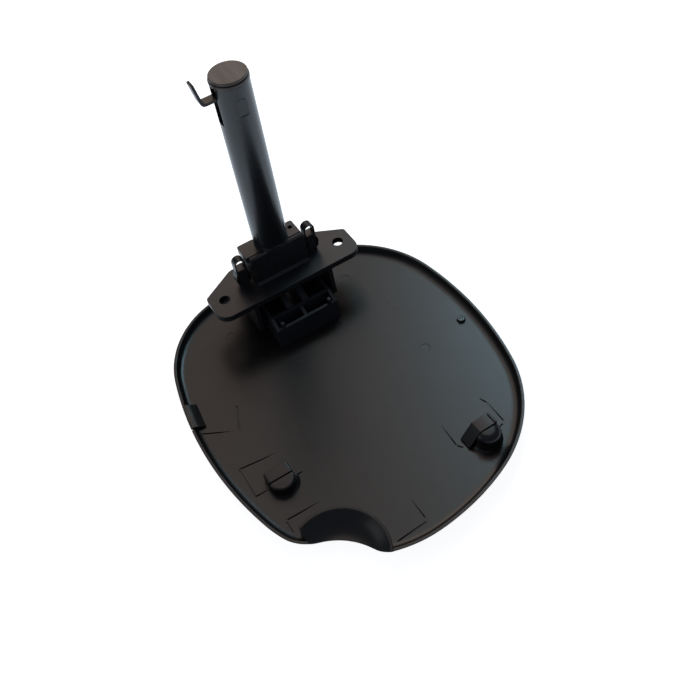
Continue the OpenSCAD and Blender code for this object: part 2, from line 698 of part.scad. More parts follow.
module arm_cuts() {
    // Crown of the lid: everything outside its inner sphere goes
    difference() {
        translate([-arm_w, -arm_front - 5, -lid_drop - 12]) cube([2 * arm_w, arm_front + 45, 24]);
        crown(seat_gap);
    }
    // Slot for the rod's eye
    translate([-arm_slot / 2, -arm_mid + rib_t, -lid_drop + 6])
        cube([arm_slot, arm_mid + pivot_y + 14, lid_drop]);
    // Pivot and bush bores, and the crank pin's bore
    at_pivot() {
        rod_x(0, 2 * arm_w, pin_d / 2 + 0.25);
        for (side = [-1, 1]) rod_x(side * (arm_w / 2 + 1), 2 * bush_len + 2, bush_d / 2);
    }
    translate([0, crank_y, crank_z]) rod_x(0, 2 * arm_slot + 30, crank_d / 2);
}

// Bush pressed into one end of the barrel
module arm_bush(side) color("#c9c5ba") at_pivot() difference() {
    rod_x(side * (arm_w / 2 - bush_len / 2), bush_len, bush_d / 2 - seat_gap);
    rod_x(side * arm_w / 2, 3 * bush_len, pin_d / 2 + run_gap);
}
module arm_bush_left() arm_bush(-1);
module arm_bush_right() arm_bush(1);

// Washer that fills the gap between arm and ear
module side_washer(side) color("#c9c5ba") at_pivot() difference() {
    rod_x(side * (arm_w / 2 + seat_gap + washer_t / 2), washer_t, barrel_r - 0.4);
    rod_x(side * arm_w / 2, 20, pin_d / 2 + run_gap);
}
module side_washer_left() side_washer(-1);
module side_washer_right() side_washer(1);

// Steel pin across the two cheeks
module crank_pin() color(steel) translate([0, crank_y, crank_z]) rod_x(0, arm_slot + 2 * cheek_t, crank_d / 2);

// Rod with a flat oblong eye at its foot
module pull_rod() color(steel) difference() {
    mean_y = tube_y;
    union() {
        translate([0, tube_y, crank_z]) cylinder(h = rod_top - crank_z, d = rod_d);
        slab(0, eye_t) polygon(rounded([
            [mean_y - eye_l / 2 - eye_wall, crank_z - eye_h / 2 - eye_wall],
            [mean_y + eye_l / 2 + eye_wall, crank_z - eye_h / 2 - eye_wall],
            [mean_y + eye_l / 2 + eye_wall, crank_z + eye_h / 2 + eye_wall],
            [mean_y - eye_l / 2 - eye_wall, crank_z + eye_h / 2 + eye_wall]], [3, 3, 3, 3]));
    }
    slab(0, rod_d + 2) polygon(rounded([
        [mean_y - eye_l / 2, crank_z - eye_h / 2], [mean_y + eye_l / 2, crank_z - eye_h / 2],
        [mean_y + eye_l / 2, crank_z + eye_h / 2], [mean_y - eye_l / 2, crank_z + eye_h / 2]],
        [2.2, 2.2, 2.2, 2.2]));
    // Groove for the head's ring
    translate([0, tube_y, hook_z + head_above]) difference() {
        cylinder(h = ring_t + 0.1, d = rod_d + 2);
        translate([0, 0, -1]) cylinder(h = ring_t + 3, d = rod_d - 1.4);
    }
    // Shoulder seat of the head
    translate([0, tube_y, hook_z - head_below]) difference() {
        cylinder(h = rod_top, d = rod_d + 2);
        translate([0, 0, -1]) cylinder(h = rod_top + 2, d = rod_d - 0.8);
    }
}

// Guide head on top of the rod, with a pocket for the hook's strip
module piston_head() color(black) difference() {
    translate([0, tube_y, hook_z - head_below]) cylinder(h = head_below + head_above, d = head_d);
    translate([0, tube_y, hook_z - head_below - 1]) cylinder(h = 2 * head_below + 10, d = rod_d - 0.8 + 2 * seat_gap);
    translate([-head_d, tube_y - hook_w / 2 - seat_gap, hook_z - hook_t / 2 - seat_gap])
        cube([head_d - rod_d / 2 - 0.4, hook_w + 2 * seat_gap, hook_t + 2 * seat_gap]);
    translate([-rivet_x, tube_y, 0]) cylinder(h = 2 * tube_top, d = rivet_hole);
}

// Open ring that holds the head on the rod
module head_ring() color(steel) translate([0, tube_y, hook_z + head_above + seat_gap]) difference() {
    cylinder(h = ring_t - seat_gap, d = rod_d + 3);
    translate([0, 0, -1]) cylinder(h = 4, d = rod_d - 1.4 + 2 * seat_gap);
    translate([0, -rod_d / 3, -1]) cube([rod_d, rod_d / 1.5, 4]);
}

// Bent steel strip that comes out of the tube's slot and turns up as a hook
module release_hook() color(spring_black) difference() {
    bend_r = 2.2;
    inner_x = -rod_d / 2 - 0.8;
    knee_x = -tube_d / 2 - hook_reach;
    up = 90 + hook_lean;
    path = concat(
        [[inner_x, hook_z]],
        arc([knee_x + bend_r, hook_z + bend_r], bend_r, 270, -90 + hook_lean, 8),
        [[knee_x + bend_r, hook_z + bend_r] + bend_r * [-cos(hook_lean), -sin(hook_lean)]
            + hook_finger * [cos(up), sin(up)]]);
    translate([0, tube_y + hook_w / 2, 0]) rotate([90, 0, 0]) linear_extrude(hook_w) polygon(strip(path, hook_t));
    translate([-rivet_x, tube_y, hook_z - 5]) cylinder(h = 10, d = rivet_hole);
}

// Rivet through head and strip
module hook_rivet() color(steel) translate([-rivet_x, tube_y, 0]) {
    translate([0, 0, hook_z - head_below]) cylinder(h = head_below + head_above, d = rivet_d);
    translate([0, 0, hook_z + head_above]) cylinder(h = rivet_head, d1 = rivet_d + 1, d2 = rivet_d - 0.4);
}

// Return spring: a wire swept along a helix with closed ends
function spring_height(t) =
    let (closed = 1.2, open = spring_turns - 2 * closed, len = spring_z1 - spring_z0 - wire_d - 0.4)
    let (pitch = (len - 2 * closed * wire_d * 1.02) / open)
    t < closed ? t * wire_d * 1.02 :
    t > spring_turns - closed ? len - (spring_turns - t) * wire_d * 1.02 :
    closed * wire_d * 1.02 + (t - closed) * pitch;

module return_spring() color(spring_black) {
    mean_r = bore_d / 2 - wire_d / 2 - 1.1;
    per_turn = 18;
    sides = 8;
    rings = spring_turns * per_turn;
    pts = [for (i = [0:rings]) let (t = i / per_turn, a = 360 * t, z = spring_z0 + 0.2 + wire_d / 2 + spring_height(t))
        for (j = [0:sides - 1]) let (b = 360 * j / sides, r = mean_r + wire_d / 2 * cos(b))
            [r * cos(a), tube_y + r * sin(a), z + wire_d / 2 * sin(b)]];
    sides_faces = [for (i = [0:rings - 1], j = [0:sides - 1])
        let (k = (j + 1) % sides) [i * sides + j, i * sides + k, (i + 1) * sides + k, (i + 1) * sides + j]];
    polyhedron(pts, concat(sides_faces,
        [[for (j = [sides - 1:-1:0]) j], [for (j = [0:sides - 1]) rings * sides + j]]));
}

hinge_housing();
tube_cap();
pivot_pin();
pin_clip();
body_clip_left();
body_clip_right();
rod_guide();
spring_seat();
lid_panel();
hinge_arm();
arm_bush_left();
arm_bush_right();
side_washer_left();
side_washer_right();
crank_pin();
pull_rod();
piston_head();
head_ring();
release_hook();
hook_rivet();
return_spring();
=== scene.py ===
"""Looks of a car fuel door: a crowned lid on a ribbed hinge arm, under a bolt-on hinge housing with a long tube.

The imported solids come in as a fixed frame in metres. This file sets the studio and the camera, dresses the
solids in procedural finishes, and models a finer lid that stands for the solid of the lid's panel.
"""

import logging
import math
from dataclasses import dataclass, field
from enum import Enum
from typing import Any

import bmesh
import bpy
from mathutils import Matrix, Vector


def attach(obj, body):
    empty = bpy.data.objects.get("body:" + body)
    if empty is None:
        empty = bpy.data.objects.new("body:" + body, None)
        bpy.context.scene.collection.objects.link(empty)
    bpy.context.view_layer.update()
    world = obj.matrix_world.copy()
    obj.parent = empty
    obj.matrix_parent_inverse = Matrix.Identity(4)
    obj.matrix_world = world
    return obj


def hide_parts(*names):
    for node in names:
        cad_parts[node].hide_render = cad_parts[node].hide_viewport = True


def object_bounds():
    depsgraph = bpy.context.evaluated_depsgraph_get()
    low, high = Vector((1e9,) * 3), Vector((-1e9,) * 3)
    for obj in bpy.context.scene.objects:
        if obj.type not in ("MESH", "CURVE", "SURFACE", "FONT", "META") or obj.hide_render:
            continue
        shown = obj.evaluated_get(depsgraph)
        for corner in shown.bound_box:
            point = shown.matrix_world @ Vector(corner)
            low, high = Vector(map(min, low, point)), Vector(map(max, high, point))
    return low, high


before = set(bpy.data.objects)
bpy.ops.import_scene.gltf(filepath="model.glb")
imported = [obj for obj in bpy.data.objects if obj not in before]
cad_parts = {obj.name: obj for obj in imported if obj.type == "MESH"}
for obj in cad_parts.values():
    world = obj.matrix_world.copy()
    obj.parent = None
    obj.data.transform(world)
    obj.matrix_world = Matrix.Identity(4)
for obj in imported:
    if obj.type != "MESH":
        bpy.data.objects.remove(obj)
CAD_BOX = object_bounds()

MM = 0.001
LOG = logging.getLogger("fuel_door")

# A place on the panel, the two ends of a groove in it, and a place with a height above it, in millimetres.
Place = tuple[float, float]
Groove = tuple[Place, Place]
Spot = tuple[float, float, float]

# Points round the scoop, a catch boss, an ejector mark and the sprue's stub.
SCOOP_POINTS = 120
DOME_POINTS = 72
MARK_POINTS = 48
STUB_POINTS = 40
# Edges of the lid look round up to this angle, in degrees.
ROUND_ANGLE = 32.0


class Body(Enum):
    """The moving bodies of the fuel door."""

    HOUSING = "housing"
    LID = "lid"
    ROD = "rod"


class Cut(Enum):
    """What a boolean tool does to a piece."""

    JOIN = "UNION"
    TAKE = "DIFFERENCE"
    TRIM = "INTERSECT"


class End(Enum):
    """How a skin's open ends are closed."""

    POLE = "pole"
    FACE = "face"


def deselect() -> None:
    """Goes to object mode with nothing selected."""
    if bpy.context.object and bpy.context.object.mode != "OBJECT":
        bpy.ops.object.mode_set(mode="OBJECT")
    bpy.ops.object.select_all(action="DESELECT")


def take_up(piece: bpy.types.Object) -> None:
    """Makes a piece the only selected and active object."""
    deselect()
    piece.select_set(True)
    bpy.context.view_layer.objects.active = piece


def select_open_edges() -> None:
    """Selects the edges of the edited mesh that bound only one face."""
    bpy.ops.mesh.select_all(action="DESELECT")
    bpy.ops.mesh.select_non_manifold(
        extend=False, use_wire=False, use_boundary=True, use_multi_face=False, use_non_contiguous=False,
        use_verts=False)


def circle(centre: Vector, radius: float, z: float, count: int) -> list[Vector]:
    """Returns count points of a level circle."""
    rays = [math.tau * i / count for i in range(count)]
    return [Vector((centre.x + radius * math.cos(a), centre.y + radius * math.sin(a), z)) for a in rays]


def crossing(c1: Vector, r1: float, c2: Vector, r2: float, guess: Vector) -> Vector:
    """Returns the crossing of two circles that lies nearer to a guess."""
    gap = c2 - c1
    along = (r1 * r1 - r2 * r2 + gap.length_squared) / (2 * gap.length)
    across = math.sqrt(r1 * r1 - along * along)
    ray = gap.normalized()
    middle = c1 + ray * along
    side = Vector((-ray.y, ray.x)) * across
    return min((middle + side, middle - side), key=lambda p: (p - guess).length)


def skin(name: str, rings: list[list[Vector]], end: End) -> bpy.types.Object:
    """Extrudes a ring of edges from ring to ring and closes both ends.

    Args:
        name: The piece's name.
        rings: Rings of points in millimetres, each with as many points as the first.
        end: How the first and last ring are closed.

    Returns:
        A closed piece with its faces outwards.
    """
    deselect()
    bpy.ops.mesh.primitive_circle_add(vertices=len(rings[0]), radius=1.0, location=(0.0, 0.0, 0.0))
    made = bpy.context.active_object
    made.name = name
    for vertex, point in zip(made.data.vertices, rings[0]):
        vertex.co = point * MM
    bpy.ops.object.mode_set(mode="EDIT")
    bpy.ops.mesh.select_mode(type="VERT")
    bpy.ops.mesh.select_all(action="SELECT")
    order = {tuple(v.co): i for i, v in enumerate(bmesh.from_edit_mesh(made.data).verts)}
    for ring in rings[1:]:
        bpy.ops.mesh.extrude_edges_move()
        mesh = bmesh.from_edit_mesh(made.data)
        moved = {}
        for vertex in (v for v in mesh.verts if v.select):
            place = order[tuple(vertex.co)]
            vertex.co = ring[place] * MM
            moved[tuple(vertex.co)] = place
        order = moved
    for last in (True, False):
        if not last:
            select_open_edges()
        if end is End.POLE:
            bpy.ops.mesh.merge(type="COLLAPSE")
        elif last:
            bpy.ops.mesh.edge_face_add()
        else:
            bpy.ops.mesh.fill_holes(sides=0)
    bpy.ops.mesh.select_all(action="SELECT")
    bpy.ops.mesh.normals_make_consistent(inside=False)
    bpy.ops.object.mode_set(mode="OBJECT")
    return made


def block(name: str, low: Spot, high: Spot) -> bpy.types.Object:
    """Returns an upright block between two corners, in millimetres."""
    corners = ((low[0], low[1]), (high[0], low[1]), (high[0], high[1]), (low[0], high[1]))
    return skin(name, [[Vector((*c, z)) for c in corners] for z in (low[2], high[2])], End.FACE)


def slice_off(piece: bpy.types.Object, place: Vector, outward: Vector) -> None:
    """Cuts off what lies beyond a plane and closes the cut.

    Args:
        piece: The piece to cut.
        place: A place on the plane, in millimetres.
        outward: Direction towards what is cut off.
    """
    take_up(piece)
    bpy.ops.object.mode_set(mode="EDIT")
    bpy.ops.mesh.select_all(action="SELECT")
    bpy.ops.mesh.bisect(plane_co=place * MM, plane_no=outward, use_fill=True, clear_outer=True)
    bpy.ops.object.mode_set(mode="OBJECT")


def combine(piece: bpy.types.Object, tool: bpy.types.Object, how: Cut) -> None:
    """Joins, cuts or trims a piece with a tool, which is used up."""
    take_up(piece)
    step = piece.modifiers.new(how.name, "BOOLEAN")
    step.operation = how.value
    step.solver = "EXACT"
    step.object = tool
    bpy.ops.object.modifier_apply(modifier=step.name)
    bpy.data.objects.remove(tool)


def joined(pieces: list[bpy.types.Object]) -> bpy.types.Object:
    """Returns one object that holds all the pieces' meshes."""
    take_up(pieces[0])
    for piece in pieces[1:]:
        piece.select_set(True)
    bpy.ops.object.join()
    return pieces[0]


def finish_piece(piece: bpy.types.Object, finish: "Finish", body: Body, angle: float) -> None:
    """Dresses a piece, shades it smooth below an angle and puts it on its body.

    Args:
        piece: The finished piece.
        finish: Its surface finish.
        body: The body that it moves with.
        angle: Angle in degrees up to which edges look round.
    """
    piece.data.materials.clear()
    piece.data.materials.append(finish.material())
    take_up(piece)
    bpy.ops.object.shade_smooth_by_angle(angle=math.radians(angle))
    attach(piece, body.value)
    LOG.info("made %s: %d faces", piece.name, len(piece.data.polygons))


def linear(code: str) -> tuple[float, float, float, float]:
    """Turns an sRGB hex colour into linear RGBA.

    Args:
        code: Colour as six hex digits, such as "#26282b".

    Returns:
        Linear red, green, blue and an alpha of 1.
    """
    parts = [int(code.lstrip("#")[i : i + 2], 16) / 255 for i in (0, 2, 4)]
    rgb = [c / 12.92 if c <= 0.04045 else ((c + 0.055) / 1.055) ** 2.4 for c in parts]
    return (rgb[0], rgb[1], rgb[2], 1.0)


def per_mm(size: float) -> float:
    """Returns the texture scale at which one feature is size millimetres wide."""
    return 1.0 / (size * MM)


def socket_key(name: str) -> int | str:
    """Returns the number of a socket that is named by number, such as I7, and any other name as it is."""
    return int(name[1:]) if name[0] == "I" and name[1:].isdigit() else name


def add_node(
    tree: bpy.types.NodeTree,
    kind: str,
    settings: dict[str, Any] | None = None,
    links: dict[str, bpy.types.NodeSocket] | None = None,
) -> bpy.types.Node:
    """Adds one shader node with its settings and links.

    Args:
        tree: Node tree that gets the node.
        kind: Node type without its "ShaderNode" start.
        settings: Attribute names, or input socket names or numbers (I7), with their values.
        links: Input socket names or numbers with the output that feeds each.

    Returns:
        The new node.
    """
    node = tree.nodes.new("ShaderNode" + kind)
    for name, value in (settings or {}).items():
        if hasattr(node, name) and not name[0].isupper():
            setattr(node, name, value)
        else:
            node.inputs[socket_key(name)].default_value = value
    for name, socket in (links or {}).items():
        tree.links.new(socket, node.inputs[socket_key(name)])
    return node


def set_ramp(node: bpy.types.Node, stops: list[tuple[float, tuple[float, ...]]]) -> None:
    """Sets a colour ramp's stops.

    Args:
        node: The colour ramp node.
        stops: Positions with linear colours, in rising order.
    """
    elements = node.color_ramp.elements
    while len(elements) < len(stops):
        elements.new(0.5)
    for element, (place, colour) in zip(elements, stops):
        element.position = place
        element.color = colour


@dataclass(frozen=True)
class Finish:
    """A surface finish, with the sizes of its patterns in millimetres."""

    name: str

    def shader(self, tree: bpy.types.NodeTree) -> bpy.types.NodeSocket:
        """Builds the finish's nodes and returns the shader output."""
        raise NotImplementedError

    def material(self) -> bpy.types.Material:
        """Returns the finish's material, made once."""
        found = bpy.data.materials.get(self.name)
        if found:
            return found
        made = bpy.data.materials.new(self.name)
        made.use_nodes = True
        tree = made.node_tree
        tree.nodes.clear()
        out = add_node(tree, "OutputMaterial")
        tree.links.new(self.shader(tree), out.inputs["Surface"])
        return made


@dataclass(frozen=True)
class MouldedPlastic(Finish):
    """Injection-moulded plastic from a spark-eroded or polished tool.

    The grain breaks up the highlight, slow waves bend it, and handling leaves fine rubbed marks.
    """

    dark: str = "#141313"
    light: str = "#1d1c1a"
    rough_low: float = 0.34
    rough_high: float = 0.5
    grain: float = 0.45
    grain_depth: float = 0.012
    wave: float = 24.0
    wave_depth: float = 0.05
    edge_r: float = 0.35
    flow: float = 1.0
    polish_from: float = 900.0
    polish: float = 1.0
    outside: str = ""
    outside_rough: float = 0.42
    rub: float = 2.2
    rub_stretch: float = 0.12

    def shader(self, tree: bpy.types.NodeTree) -> bpy.types.NodeSocket:
        """Builds the plastic's nodes and returns the shader output."""
        coords = add_node(tree, "TexCoord")
        place = coords.outputs["Object"]
        drawn = add_node(
            tree, "Mapping", {"Rotation": (0.0, 0.0, 0.5), "Scale": (1.0, self.flow, 1.0)}, {"Vector": place})
        cloud = add_node(
            tree, "TexNoise", {"Scale": per_mm(self.wave), "Detail": 4.0, "Roughness": 0.55},
            {"Vector": drawn.outputs["Vector"]})
        tint = add_node(tree, "ValToRGB", {}, {"Fac": cloud.outputs["Fac"]})
        set_ramp(tint, [(0.35, linear(self.dark)), (0.68, linear(self.light))])
        rubbed = add_node(
            tree, "Mapping", {"Rotation": (0.3, 0.2, 0.9), "Scale": (1.0, self.rub_stretch, 1.0)}, {"Vector": place})
        streak = add_node(
            tree, "TexNoise", {"Scale": per_mm(self.rub), "Detail": 6.0, "Roughness": 0.7},
            {"Vector": rubbed.outputs["Vector"]})
        satin = add_node(
            tree, "MapRange",
            {"From Min": 0.3, "From Max": 0.75, "To Min": self.rough_low, "To Max": self.rough_high},
            {"Value": streak.outputs["Fac"]})
        height = add_node(tree, "SeparateXYZ", {}, {"Vector": place})
        zone = add_node(
            tree, "MapRange",
            {"From Min": (self.polish_from - 2.0) * MM, "From Max": self.polish_from * MM, "To Min": 1.0,
             "To Max": self.polish},
            {"Value": height.outputs["Z"]})
        rough = add_node(
            tree, "Math", {"operation": "MULTIPLY"}, {"I0": satin.outputs["Result"], "I1": zone.outputs["Result"]})
        colour, dull = tint.outputs["Color"], rough.outputs["Value"]
        if self.outside:
            facing = add_node(tree, "SeparateXYZ", {}, {"Vector": coords.outputs["Normal"]})
            under = add_node(
                tree, "MapRange", {"From Min": -0.25, "From Max": -0.45, "To Min": 0.0, "To Max": 1.0},
                {"Value": facing.outputs["Z"]})
            primer = add_node(
                tree, "Mix", {"data_type": "RGBA", "I7": linear(self.outside)},
                {"I0": under.outputs["Result"], "I6": colour})
            matt = add_node(
                tree, "Mix", {"data_type": "FLOAT", "I3": self.outside_rough},
                {"I0": under.outputs["Result"], "I2": dull})
            colour, dull = primer.outputs[2], matt.outputs[0]
        grain = add_node(tree, "TexNoise", {"Scale": per_mm(self.grain), "Detail": 2.0}, {"Vector": place})
        soft = add_node(tree, "Bevel", {"samples": 6, "Radius": self.edge_r * MM})
        slow = add_node(
            tree, "Bump", {"Strength": 1.0, "Distance": self.wave_depth * MM},
            {"Height": cloud.outputs["Fac"], "Normal": soft.outputs["Normal"]})
        fine = add_node(
            tree, "Bump", {"Strength": 1.0, "Distance": self.grain_depth * MM},
            {"Height": grain.outputs["Fac"], "Normal": slow.outputs["Normal"]})
        body = add_node(
            tree, "BsdfPrincipled", {"IOR": 1.5, "Metallic": 0.0},
            {"Base Color": colour, "Roughness": dull, "Normal": fine.outputs["Normal"]})
        return body.outputs["BSDF"]


@dataclass(frozen=True)
class PlatedSteel(Finish):
    """Turned and zinc-plated steel: bright, with the slightly cloudy shine of the plating."""

    colour: str = "#a9adb0"
    dull: str = "#8e9294"
    rough_low: float = 0.22
    rough_high: float = 0.36
    spot: float = 3.0
    edge_r: float = 0.2

    def shader(self, tree: bpy.types.NodeTree) -> bpy.types.NodeSocket:
        """Builds the plated steel's nodes and returns the shader output."""
        place = add_node(tree, "TexCoord").outputs["Object"]
        spots = add_node(tree, "TexNoise", {"Scale": per_mm(self.spot), "Detail": 5.0}, {"Vector": place})
        tint = add_node(tree, "ValToRGB", {}, {"Fac": spots.outputs["Fac"]})
        set_ramp(tint, [(0.3, linear(self.dull)), (0.7, linear(self.colour))])
        rough = add_node(
            tree, "MapRange", {"To Min": self.rough_low, "To Max": self.rough_high}, {"Value": spots.outputs["Fac"]})
        soft = add_node(tree, "Bevel", {"samples": 6, "Radius": self.edge_r * MM})
        bump = add_node(
            tree, "Bump", {"Strength": 0.6, "Distance": 0.01 * MM},
            {"Height": spots.outputs["Fac"], "Normal": soft.outputs["Normal"]})
        body = add_node(
            tree, "BsdfPrincipled", {"Metallic": 1.0},
            {"Base Color": tint.outputs["Color"], "Roughness": rough.outputs["Result"],
             "Normal": bump.outputs["Normal"]})
        return body.outputs["BSDF"]


@dataclass(frozen=True)
class PhosphatedSpring(Finish):
    """Punched spring steel, phosphated and oiled: near black, with bright metal rubbed through on its edges."""

    dark: str = "#1c1b1b"
    light: str = "#2e2b29"
    bare: str = "#8d9096"
    crystal: float = 0.5
    cloud: float = 4.0
    edge_r: float = 0.22

    def shader(self, tree: bpy.types.NodeTree) -> bpy.types.NodeSocket:
        """Builds the phosphated steel's nodes and returns the shader output."""
        place = add_node(tree, "TexCoord").outputs["Object"]
        crystals = add_node(tree, "TexVoronoi", {"Scale": per_mm(self.crystal)}, {"Vector": place})
        cloud = add_node(tree, "TexNoise", {"Scale": per_mm(self.cloud), "Detail": 5.0}, {"Vector": place})
        tint = add_node(tree, "ValToRGB", {}, {"Fac": cloud.outputs["Fac"]})
        set_ramp(tint, [(0.35, linear(self.dark)), (0.7, linear(self.light))])
        soft = add_node(tree, "Bevel", {"samples": 8, "Radius": self.edge_r * MM})
        flat = add_node(tree, "NewGeometry")
        turn = add_node(
            tree, "VectorMath", {"operation": "DOT_PRODUCT"},
            {"I0": soft.outputs["Normal"], "I1": flat.outputs["Normal"]})
        wear = add_node(
            tree, "MapRange", {"From Min": 0.995, "From Max": 0.9, "To Min": 0.0, "To Max": 0.8},
            {"Value": turn.outputs["Value"]})
        spread = add_node(
            tree, "Math", {"operation": "MULTIPLY"}, {"I0": wear.outputs["Result"], "I1": cloud.outputs["Fac"]})
        colour = add_node(
            tree, "Mix", {"data_type": "RGBA", "I7": linear(self.bare)},
            {"I0": spread.outputs["Value"], "I6": tint.outputs["Color"]})
        bump = add_node(
            tree, "Bump", {"Strength": 0.5, "Distance": 0.01 * MM},
            {"Height": crystals.outputs["Distance"], "Normal": soft.outputs["Normal"]})
        body = add_node(
            tree, "BsdfPrincipled", {"Metallic": 0.45, "Roughness": 0.38},
            {"Base Color": colour.outputs[2], "Normal": bump.outputs["Normal"]})
        return body.outputs["BSDF"]


# Glass-filled nylon from an eroded tool: cool black with a broad satin sheen, polished brighter up the tube.
HOUSING_NYLON = MouldedPlastic(
    "moulded_glass_filled_nylon", dark="#1a1b1e", light="#222326", rough_low=0.34, rough_high=0.44, edge_r=0.55,
    wave_depth=0.03, polish_from=26.0, polish=0.62)
# The same nylon on the arm's ribs, duller, and painted lighter than the housing's: a painted brightening that keeps
# the cells between the ribs readable.
ARM_NYLON_PAINTED_LIGHTER = MouldedPlastic(
    "moulded_arm_nylon_painted_lighter", dark="#26272b", light="#303136", rough_low=0.36, rough_high=0.48, edge_r=0.4)
# Moulded ABS: warm black inside, with long slow waves in its reflection, and dark satin primer on the outer face.
LID_PANEL_ABS = MouldedPlastic(
    "moulded_lid_abs", dark="#171616", light="#1c1b1a", rough_low=0.27, rough_high=0.33, grain=0.6, grain_depth=0.005,
    wave=38.0, wave_depth=0.07, edge_r=0.3, outside="#262729")
# Polypropylene that ran in at one side: matt grey-brown with streaks along the flow.
CAP_PLASTIC = MouldedPlastic(
    "moulded_cap_polypropylene", dark="#463c37", light="#63574f", rough_low=0.4, rough_high=0.5, wave=7.0, flow=0.12)
# Turned acetal without pigment: waxy, off-white bushes and washers.
NATURAL_ACETAL = MouldedPlastic(
    "turned_natural_acetal", dark="#c4c0b4", light="#d6d2c7", rough_low=0.3, rough_high=0.45)
# Pins, rod and ring: a bright glint against the black plastic.
ZINC_STEEL = PlatedSteel("zinc_plated_steel")
# Hook, clips and spring: near black, with edges that catch the light.
SPRING_STEEL = PhosphatedSpring("phosphated_spring_steel")


@dataclass(frozen=True)
class Station:
    """One place on the lid's outline with the direction that points out of the lid."""

    place: Vector
    outward: Vector


@dataclass
class FuelLid:
    """Crowned lid: a leaning rim, a finger notch under a scoop, two catch bosses and moulding marks.

    Sizes are in millimetres, in the frame of the CAD, and the piece stands for the CAD's lid panel. The outline is
    four flat arcs, right, back, left and front, with a corner's arc after each.
    """

    left: float = 96.6
    right: float = 91.2
    back: float = 31.8
    front: float = 186.6
    side_r: tuple[float, ...] = (187.3, 143.5, 211.6, 140.9)
    side_at: tuple[float, ...] = (-70.2, -6.5, -72.6, -18.7)
    corner_r: tuple[float, ...] = (74.2, 61.7, 74.9, 85.3)
    corner_near: tuple[Place, ...] = ((60.0, 0.0), (-60.0, 0.0), (-60.0, -140.0), (60.0, -140.0))
    crown: Place = (-2.5, -75.0)
    crown_r: float = 900.0
    drop: float = 35.2
    thick: float = 2.8
    rim_w: float = 1.8
    rim_foot: float = 5.0
    rim_h: float = 3.5
    lean: float = 0.00466
    stated_z: float = -25.0
    column_reach: tuple[float, float] = (-6.0, 20.0)
    stations: list[Station] = field(default_factory=list)
    notch: Place = (-82.9, -194.3)
    notch_r: float = 40.0
    tip_r: tuple[float, float] = (23.5, 14.0)
    tip_ray: tuple[Place, ...] = ((-1.9, -1.0), (-0.4, -2.0))
    tip_reach: float = 80.0
    scoop: Place = (-63.5, -169.8)
    scoop_r: float = 25.7
    scoop_h: float = 7.0
    scoop_wall: float = 1.4
    scoop_edge: float = 0.35
    scoop_deep: float = 6.3
    scoop_slope: float = 50.0
    scoop_end: float = -73.5
    left_boss: Spot = (-66.8, -111.3, 6.5)
    right_boss: Spot = (40.2, -153.4, 10.5)
    boss_w: float = 12.6
    boss_back: float = 7.4
    boss_edge: float = 1.2
    boss_flare: float = 2.6
    slit: float = 0.8
    web_in: float = 1.0
    ramp: Place = (-92.2, -44.0)
    ramp_size: tuple[float, float] = (17.5, 6.9)
    ramp_turn: float = -6.3
    gap: float = 1.3
    marks: tuple[Place, ...] = ((39.0, -3.0), (49.5, -79.4), (-44.1, -1.7))
    mark_d: float = 6.4
    mark_deep: float = 0.12
    stub: Place = (79.0, -76.0)
    left_grooves: tuple[Groove, ...] = (
        ((-16.5, 1.2), (-16.5, 21.0)), ((-15.6, 21.1), (12.2, 18.9)), ((-16.5, 0.2), (-9.0, 0.2)),
        ((9.0, 0.2), (12.5, 0.2)))
    right_grooves: tuple[Groove, ...] = (
        ((-15.7, 6.9), (-14.9, 22.1)), ((-15.5, 5.9), (-13.6, 3.2)), ((14.2, 3.9), (14.5, 19.1)),
        ((14.4, 19.9), (13.2, 23.8)), ((8.8, 0.9), (12.4, 2.4)))
    panel_grooves: tuple[Groove, ...] = (
        ((-76.6, -142.5), (-76.6, -134.5)), ((-75.5, -133.5), (-52.0, -133.5)),
        ((-34.5, -177.6), (-16.0, -176.6)), ((-15.0, -174.0), (-15.0, -160.0)),
        ((-64.6, -49.9), (-71.0, -66.0)), ((-90.5, -56.9), (-72.0, -66.2)))
    groove_w: float = 0.8
    groove_deep: float = 0.6
    chord: float = 2.0

    def panel_z(self, x: float, y: float) -> float:
        """Returns the height of the lid's inner face at a place."""
        reach = (x - self.crown[0]) ** 2 + (y - self.crown[1]) ** 2
        return self.crown_r - self.drop - math.sqrt(self.crown_r**2 - reach)

    def side_centre(self, side: int) -> Vector:
        """Returns the centre of the right, back, left or front edge's arc."""
        reach, along = self.side_r[side], self.side_at[side]
        centres = (
            (self.right - reach, along), (along, self.back - reach), (reach - self.left, along),
            (along, reach - self.front))
        return Vector(centres[side])

    def corner_centre(self, corner: int) -> Vector:
        """Returns the centre of a corner's arc, which meets its two edges smoothly."""
        after = (corner + 1) % 4
        radius = self.corner_r[corner]
        return crossing(
            self.side_centre(corner), self.side_r[corner] - radius,
            self.side_centre(after), self.side_r[after] - radius, Vector(self.corner_near[corner]))

    def tip_centre(self, tip: int) -> Vector:
        """Returns the centre of the rounded tip to the left (0) or right (1) of the notch."""
        corner = self.corner_centre(2)
        guess = corner + self.tip_reach * Vector(self.tip_ray[tip]).normalized()
        radius = self.tip_r[tip]
        return crossing(corner, self.corner_r[2] - radius, Vector(self.notch), self.notch_r + radius, guess)

    def arc(self, centre: Vector, radius: float, start: Vector, end: Vector, hollow: bool = False) -> list[Station]:
        """Walks along an arc of the outline.

        Args:
            centre: Centre of the arc.
            radius: Its radius.
            start: Direction of its first place, seen from the centre.
            end: Direction in which it ends.
            hollow: Whether it runs clockwise, round a hollow of the outline.

        Returns:
            Stations in even steps, without the last place.
        """
        first = math.atan2(start.y, start.x)
        sweep = (math.atan2(end.y, end.x) - first) % math.tau - (math.tau if hollow else 0.0)
        count = math.ceil(abs(radius * sweep) / self.chord)
        rays = [first + sweep * i / count for i in range(count)]
        rays = [Vector((math.cos(a), math.sin(a))) for a in rays]
        return [Station(centre + ray * radius, -ray if hollow else ray) for ray in rays]

